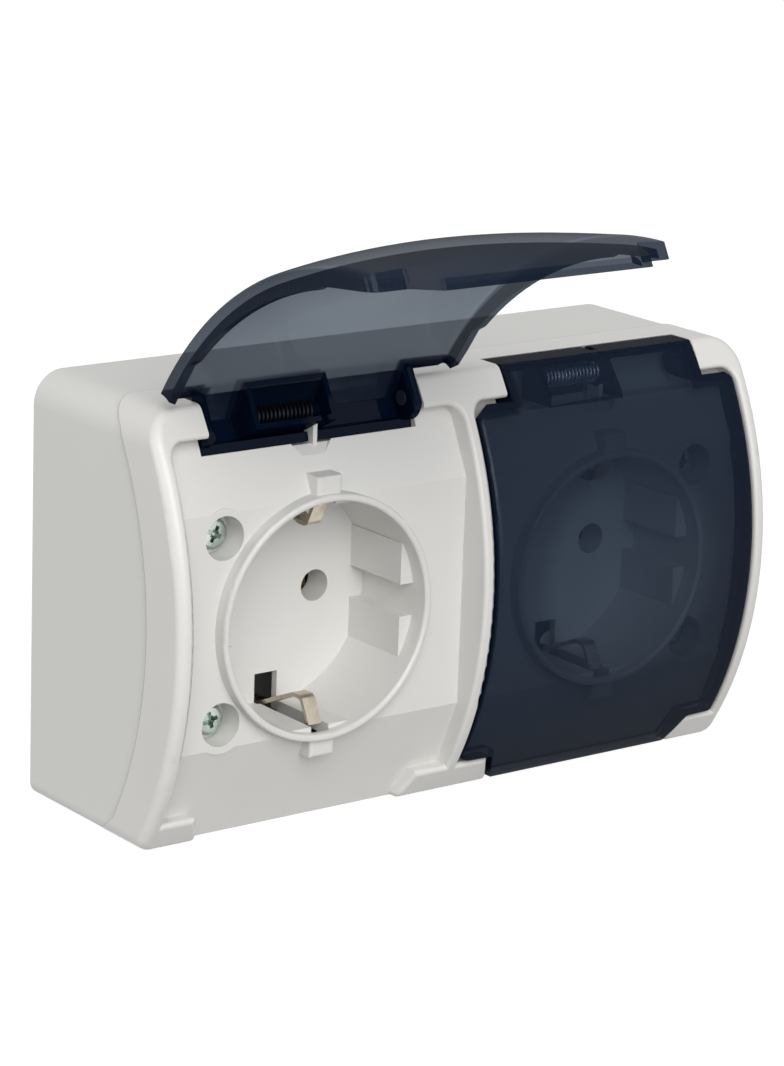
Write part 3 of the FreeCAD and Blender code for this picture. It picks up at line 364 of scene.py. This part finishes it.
def tube(name, path, radius, sides):
    # a round wire along a line of points that starts upwards
    verts, faces = [], []
    side = Vector((1, 0, 0))
    for k, point in enumerate(path):
        ahead = (path[min(k + 1, len(path) - 1)] - path[max(k - 1, 0)]).normalized()
        side = (side - ahead * side.dot(ahead)).normalized()
        other = ahead.cross(side)
        for n in range(sides):
            turn = 2 * math.pi * n / sides
            verts.append(point + (side * math.cos(turn) + other * math.sin(turn)) * radius)
    for k in range(len(path) - 1):
        for n in range(sides):
            a, b = k * sides + n, k * sides + (n + 1) % sides
            faces.append((a, b, b + sides, a + sides))
    faces.append(tuple(reversed(range(sides))))
    faces.append(tuple(range(len(verts) - sides, len(verts))))
    piece = meshPiece(name, verts, faces)
    piece.data.polygons.foreach_set("use_smooth", [len(face) == 4 for face in faces])
    return piece


def springPath(pivot, openTurn, size):
    # from the leg on the cover's web, up and round the coil, to the leg in the lid's pocket
    radius = size["radius"]
    first = pivot + Vector((size["end"], radius, 0))
    points = [first - Vector((0, 0, size["coverLeg"] * (1 - k / size["coverLegSteps"])))
              for k in range(size["coverLegSteps"])]
    sweep = 2 * math.pi * (size["turns"] - 0.25) - openTurn  # ends where the leg runs along the lid
    steps = int(size["turns"] * size["stepsPerTurn"])
    length = size["turns"] * size["pitch"]
    for k in range(steps + 1):
        turn = sweep * k / steps
        points.append(pivot + Vector((size["end"] - length * k / steps, radius * math.cos(turn),
                                      radius * math.sin(turn))))
    along = Vector((0, -math.sin(sweep), math.cos(sweep)))
    last = points[-1]
    for k in range(size["lidLegSteps"]):
        points.append(last + along * size["lidLeg"] * (k + 1) / size["lidLegSteps"])
    return points


for joint in frame["joints"]:
    lid = joint["child"]
    path = springPath(Vector(joint["pos_m"]), restTurn(joint), lidSpring)
    coil = tube(lid + "_coil", path, lidSpring["wire"] / 2, lidSpring["sides"])
    coil.data.materials.append(finishes.get(lid + "_spring") or finishes["spring_steel"])
    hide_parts(lid + "_spring")
    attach(coil, lid)
print("springs wound")


# pan heads with a cross, at the bottom of the wells; each stands turned as its thread left it
coverScrew = {
    "across": 0.04968, "up": 0.01566, "seat": -0.03375, "turns": (26, -14, 9, 33), "sides": 48, "sharpFrom": 32,
    "headRadius": 0.00270, "headHeight": 0.0021, "dome": 0.0007, "domeStep": 15, "rim": 0.0001,
    "shank": 0.0017, "length": 0.01287, "tip": 0.001, "tipShare": 0.5,
    "slotWidth": 0.00085, "slotReach": 0.00165, "slotDepth": 0.0012, "slotTaper": 0.55, "slotOver": 0.0005,
    "tickReach": 0.0010, "tickShare": 0.4, "crossShare": 0.999,
}


def screwBlank(name, size):
    # head and shank turned about Y, with the head's seat at y = 0
    top, radius, dome, rim = -size["headHeight"], size["headRadius"], size["dome"], size["rim"]
    outline = [(0.0, top)]
    for angle in range(0, 91, size["domeStep"]):
        turn = math.radians(angle)
        outline.append((radius - dome + dome * math.sin(turn), top + dome - dome * math.cos(turn)))
    outline += [(radius, -rim), (radius - rim, 0.0), (size["shank"], 0.0),
                (size["shank"], size["length"] - size["tip"]),
                (size["shank"] * size["tipShare"], size["length"]), (0.0, size["length"])]
    verts, faces, sides = [], [], size["sides"]
    for r, y in outline[1:-1]:
        for n in range(sides):
            turn = 2 * math.pi * n / sides
            verts.append((r * math.cos(turn), y, r * math.sin(turn)))
    rings = len(outline) - 2
    for k in range(rings - 1):
        for n in range(sides):
            a, b = k * sides + n, k * sides + (n + 1) % sides
            faces.append((a, b, b + sides, a + sides))
    verts += [(0, outline[0][1], 0), (0, outline[-1][1], 0)]
    for n in range(sides):
        after = (n + 1) % sides
        faces.append((len(verts) - 2, after, n))
        faces.append((len(verts) - 1, (rings - 1) * sides + n, (rings - 1) * sides + after))
    return meshPiece(name, verts, faces)


def crossCutter(name, size):
    # two bars across each other that narrow with depth, and four short ticks between them; the second of
    # each pair is a hair shorter, so that no two faces lie in one plane
    top, foot = -size["headHeight"] - size["slotOver"], -size["headHeight"] + size["slotDepth"]
    wide, long, tick, hair = size["slotWidth"], size["slotReach"], size["tickReach"], size["crossShare"]
    thin = wide * size["tickShare"]
    verts, faces = [], []
    bars = ((0, long, wide), (90, long * hair, wide), (45, tick, thin), (135, tick * hair, thin))
    for turn, reach, width in bars:
        spin = Matrix.Rotation(math.radians(turn), 3, "Y")
        first = len(verts)
        for y, share in ((top, 1.0), (foot, size["slotTaper"])):
            for sx, sz in ((-1, -1), (1, -1), (1, 1), (-1, 1)):
                verts.append(spin @ Vector((sx * reach * share, y, sz * width / 2 * share)))
        for quad in ((0, 1, 2, 3), (7, 6, 5, 4), (0, 4, 5, 1), (1, 5, 6, 2), (2, 6, 7, 3), (3, 7, 4, 0)):
            faces.append(tuple(first + k for k in quad))
    return meshPiece(name, verts, faces)


def cutScrew(name, size):
    blank, cutter = screwBlank(name, size), crossCutter(name + "Cutter", size)
    for piece in (blank, cutter):
        shape = bmesh.new()
        shape.from_mesh(piece.data)
        bmesh.ops.recalc_face_normals(shape, faces=shape.faces)
        shape.to_mesh(piece.data)
        shape.free()
    cut = blank.modifiers.new("cross", "BOOLEAN")
    cut.object = cutter
    cut.operation = "DIFFERENCE"
    cut.solver = "EXACT"
    cut.use_self = True
    view = bpy.context.evaluated_depsgraph_get()
    made = bpy.data.meshes.new_from_object(blank.evaluated_get(view))
    bpy.data.objects.remove(blank)
    bpy.data.objects.remove(cutter)
    return made


def placeScrews(size):
    blank = cutScrew("screwBlank", size)
    shape = bmesh.new()
    corners = [(sx, sz) for sx in (-1, 1) for sz in (1, -1)]
    for (sx, sz), turn in zip(corners, size["turns"]):
        first = len(shape.verts)
        shape.from_mesh(blank)
        shape.verts.ensure_lookup_table()
        place = Matrix.Translation(Vector((sx * size["across"], size["seat"], sz * size["up"])))
        spin = Matrix.Rotation(math.radians(turn), 4, "Y")
        bmesh.ops.transform(shape, matrix=place @ spin, verts=shape.verts[first:])
    mesh = bpy.data.meshes.new("coverScrewSet")
    shape.to_mesh(mesh)
    shape.free()
    mesh.polygons.foreach_set("use_smooth", [True] * len(mesh.polygons))
    mesh.set_sharp_from_angle(angle=math.radians(size["sharpFrom"]))
    return addObject("coverScrewSet", mesh)


screws = placeScrews(coverScrew)
screws.data.materials.append(finishes["screw_steel"])
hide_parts("cover_screws")
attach(screws, "housing")
print("screws turned")


photoView = {"eye": (-0.376164, -0.51111, 0.172485), "yaw": 37.24, "down": 15.13, "roll": 2.03,
             "focal": 3725.1, "middle": (387.57, 533.78), "image": (784, 1066), "sensor": 36.0, "near": 0.01}


def placeCamera(view):
    yaw, down, roll = (math.radians(view[key]) for key in ("yaw", "down", "roll"))
    ahead = Vector((math.sin(yaw) * math.cos(down), math.cos(yaw) * math.cos(down), -math.sin(down)))
    level = Vector((math.cos(yaw), -math.sin(yaw), 0))
    upright = level.cross(ahead)
    right = level * math.cos(roll) + upright * math.sin(roll)
    up = upright * math.cos(roll) - level * math.sin(roll)
    data = bpy.data.cameras.new("photoCamera")
    wide, high = view["image"]
    data.sensor_fit = "HORIZONTAL"
    data.sensor_width = view["sensor"]
    data.lens = view["focal"] / wide * view["sensor"]
    data.shift_x = (wide / 2 - view["middle"][0]) / wide
    data.shift_y = (view["middle"][1] - high / 2) / wide
    data.clip_start = view["near"]
    camera = addObject("photoCamera", data)
    turn = Matrix((right, up, -ahead)).transposed().to_4x4()
    camera.matrix_world = Matrix.Translation(Vector(view["eye"])) @ turn
    bpy.context.scene.camera = camera


placeCamera(photoView)
print("camera placed")


studio = {
    "key": {"place": (-0.56, -1.27, 0.80), "size": 1.3, "power": 19.5},
    "front": {"place": (-0.20, -1.58, 0.15), "size": 0.9, "power": 3.5},
    "left": {"place": (-1.55, 0.13, 0.27), "size": 0.8, "power": 5.6},
}
lampAim = (0, -0.03, 0)
surround = {"ambient": 0.30, "floor": colour(0.32, 0.32, 0.32), "lift": 0.90, "floorReach": 4.0,
            "floorGap": 0.0001}


def addLamp(name, lamp):
    data = bpy.data.lights.new(name, "AREA")
    data.shape = "DISK"
    data.size = lamp["size"]
    data.energy = lamp["power"]
    light = addObject(name, data)
    light.location = lamp["place"]
    light.rotation_euler = (Vector(lampAim) - Vector(lamp["place"])).to_track_quat("-Z", "Y").to_euler()


for name, lamp in studio.items():
    addLamp(name, lamp)


def seenDirectly(finish):
    # 1 where the camera sees this, straight or in a reflection, and 0 where it only gives light
    camera, glossy, clear = (finish.node("ShaderNodeLightPath", out=ray) for ray in
                             ("Is Camera Ray", "Is Glossy Ray", "Is Transmission Ray"))
    return camera.larger(glossy.larger(clear))


def roomLight(look):
    room = Finish("studioRoom", bpy.data.worlds, "ShaderNodeOutputWorld")
    light = room.node("ShaderNodeBackground", sockets={"Color": colour(1, 1, 1), "Strength": look["ambient"]})
    white = room.node("ShaderNodeBackground", sockets={"Color": colour(1, 1, 1), "Strength": 1.0})
    return room.close(room.node("ShaderNodeMixShader", sockets=[seenDirectly(room), light, white]))


bpy.context.scene.world = roomLight(surround)


def floorFinish(look):
    paper = Finish("floorPaper")
    matt = paper.node("ShaderNodeBsdfDiffuse", sockets={"Color": look["floor"]})
    glow = paper.node("ShaderNodeEmission", sockets={"Color": colour(1, 1, 1), "Strength": look["lift"]})
    bright = paper.node("ShaderNodeAddShader", sockets=[matt, glow])
    return paper.close(paper.node("ShaderNodeMixShader", sockets=[seenDirectly(paper), matt, bright]))


def addFloor(look, level):
    reach = look["floorReach"]
    corners = [(-reach, -reach, level), (reach, -reach, level), (reach, reach, level), (-reach, reach, level)]
    floor = meshPiece("floor", corners, [(0, 1, 2, 3)])
    floor.data.materials.append(floorFinish(look))


addFloor(surround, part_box("rear_box")[0].z - surround["floorGap"])
bpy.context.scene.view_settings.view_transform = "Standard"
print("studio lit")
